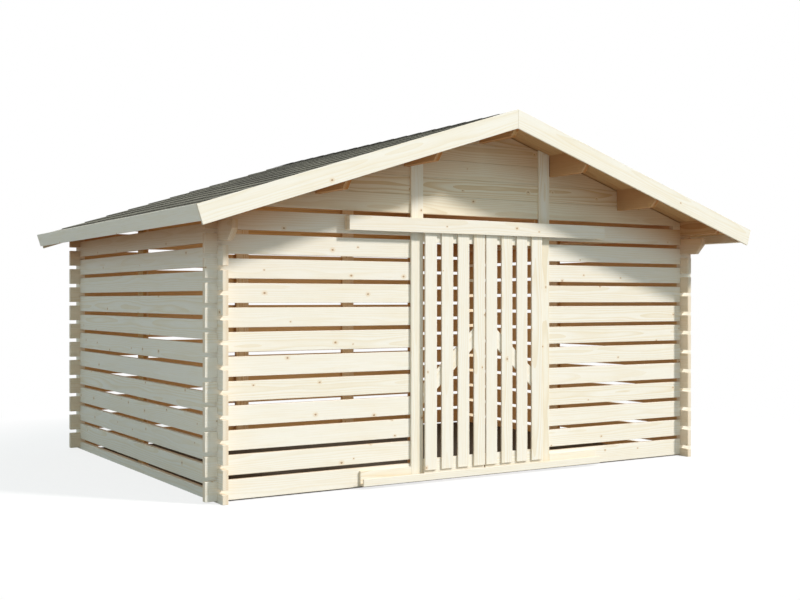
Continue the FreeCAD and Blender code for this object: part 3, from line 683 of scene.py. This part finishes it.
# Door header: a cover board over a beam, with an end block at each side that reaches back to the wall. The leaves
# hang in the steel track below the beam.
POST_FACE = FRONT - POST_T
COVER_BACK, HEADER_LEFT, HEADER_RIGHT, END_BLOCK = -1601.0, -1241.0, 1225.0, 44.0
HEADER_Z, HEADER_TOP, BEAM_Z = 1905.0, 2014.0, 1969.0
beam = [plank([HEADER_LEFT, HEADER_RIGHT], BEAM_Z, HEADER_TOP, COVER_BACK, POST_FACE)]
fit_boards("beam_over_door", beam, lying, frame_spruce, "shed", ["header_beam"])
cover = [plank([HEADER_LEFT, -400.0, 400.0, HEADER_RIGHT], HEADER_Z, HEADER_TOP, COVER_BACK - TRIM, COVER_BACK,
               ease=2.0)]
fit_boards("cover_over_door", cover, lying, trim_spruce, "shed", ["header_cover"])
blocks = []
for a, b in ((HEADER_LEFT, HEADER_LEFT + END_BLOCK), (HEADER_RIGHT - END_BLOCK, HEADER_RIGHT)):
    blocks.append(plank([a, b], HEADER_Z, BEAM_Z, COVER_BACK, POST_FACE))
    blocks.append(plank([a, b], HEADER_Z, HEADER_TOP, POST_FACE, FRONT))
fit_boards("blocks_over_door", blocks, lying, frame_spruce, "shed", ["header_blocks"])

# Bottom guide: a strip a little above the ground with a 54 mm lip in front keeps the leaves from swinging, and a back
# board stands behind them each side of the posts.
GUIDE_LEFT, GUIDE_RIGHT, GUIDE_UP = -1117.0, 1176.0, 24.0
LIP_FACE, LIP_BACK = -1611.0, -1595.0
channel = [plank([GUIDE_LEFT, -500.0, 600.0, GUIDE_RIGHT], GUIDE_UP, GUIDE_UP + 54.0, LIP_FACE, LIP_BACK, ease=2.0),
           plank([GUIDE_LEFT, GUIDE_RIGHT], GUIDE_UP, GUIDE_UP + 18.0, LIP_BACK, POST_FACE, ease=1.5)]
fit_boards("guide_strip", channel, lying, trim_spruce, "shed", ["guide_channel"])
backs = [plank([a, b], GUIDE_UP, GUIDE_UP + 108.0, POST_FACE, FRONT)
         for a, b in ((GUIDE_LEFT, -DOOR_HALF - POST), (DOOR_HALF + POST, GUIDE_RIGHT))]
fit_boards("guide_back_boards", backs, lying, frame_spruce, "shed", ["guide_backs"])

# Door leaves: four planed slats each, 107 x 15 mm, screwed from behind to a top rail, a bottom rail and a slanted
# brace that rises to the seam. Only the bottom rail reaches down behind the lip.
SLAT, GAP, SEAM, LEAF_W = 106.75, 45.0, 6.0, 562.0
RAIL_Y, SLAT_T = -1580.0, 15.0
LEAF_Z, SLAT_UP, LEAF_TOP = 48.0, 49.0, 1927.0
slat_spruce = planed_spruce("planed_spruce_slats", "#F7F1E6", "#E8D4AA", "#E6CA9E", (0.002, 0.016), knots=0.35,
                            rings=0.45)
for side, name in ((-1, "left"), (1, "right")):
    body = name + "_door"
    slats = []
    for n in range(4):
        a, b = sorted((side * (SEAM + n * (SLAT + GAP)), side * (SEAM + n * (SLAT + GAP) + SLAT)))
        slats.append(plank([LEAF_Z + SLAT_UP, 600.0, 1300.0, LEAF_TOP], a, b, RAIL_Y - SLAT_T, RAIL_Y, ease=2.5))
    fit_boards("slats_" + name, slats, standing, slat_spruce, body, [body + "_slats"])
    a, b = sorted((side * SEAM, side * (SEAM + LEAF_W)))
    top = [plank([a, b], LEAF_TOP - 95.0, LEAF_TOP, RAIL_Y, RAIL_Y + SLAT_T, ease=2.0)]
    fit_boards("top_rail_" + name, top, lying, slat_spruce, body, [body + "_top_rail"])
    low = [plank([a, b], LEAF_Z, LEAF_Z + 137.0, RAIL_Y, RAIL_Y + SLAT_T, ease=2.0)]
    fit_boards("bottom_rail_" + name, low, lying, slat_spruce, body, [body + "_bottom_rail"])
    tilt = atan(503.0 / LEAF_W)
    foot = np.array([side * (SEAM + LEAF_W), LEAF_Z + 636.0])
    run = np.array([-side * cos(tilt), sin(tilt)])
    rise = np.array([side * sin(tilt), cos(tilt)])
    start, lift_up = foot @ run, foot @ rise
    cut = np.tan(tilt)
    brace = plank([start - cut * lift_up, start - cut * lift_up + LEAF_W / cos(tilt)], lift_up - 56.0, lift_up + 56.0,
                  RAIL_Y, RAIL_Y + SLAT_T, ease=2.0, lean=[cut, cut])
    basis = (np.array([run[0], 0, run[1]]), np.array([rise[0], 0, rise[1]]), BACKWARDS)
    fit_boards("brace_" + name, [brace], basis, slat_spruce, body, [body + "_brace"])

# Track and trolleys: rolled from galvanised sheet, so a soft grey shine with faint zinc flowers; the CAD shapes stay.
zinc = bpy.data.materials.new("galvanised_steel")
zinc.use_nodes = True
tree = zinc.node_tree
tree.nodes.clear()
place = add(tree, "TexCoord").outputs["Object"]
# Zinc flowers are 5 to 15 mm across.
flowers = add(tree, "TexVoronoi", {"Scale": 90.0}, {"Vector": place})
spangle = add(tree, "SeparateColor", {}, {0: flowers.outputs["Color"]}).outputs[0]
smudge = add(tree, "TexNoise", {"Scale": 14.0, "Detail": 3.0}, {"Vector": place}).outputs["Fac"]
metal = add(tree, "Mix", {"data_type": "RGBA", 6: linear("#A9ADAF"), 7: linear("#C6C9CA")}, {0: spangle}).outputs[2]
metal = add(tree, "Mix", {"data_type": "RGBA", "blend_type": "MULTIPLY", 7: linear("#D8D5D0")},
            {0: smudge, 6: metal}).outputs[2]
rough = add(tree, "MapRange", {"To Min": 0.34, "To Max": 0.52}, {"Value": spangle})
shader = add(tree, "BsdfPrincipled", {"Metallic": 0.85}, {"Base Color": metal, "Roughness": rough.outputs[0]})
add(tree, "OutputMaterial", {}, {"Surface": shader.outputs[0]})
for name in ("door_track", "left_door_trolleys", "right_door_trolleys"):
    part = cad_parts[name]
    part.data.materials.clear()
    part.data.materials.append(zinc)
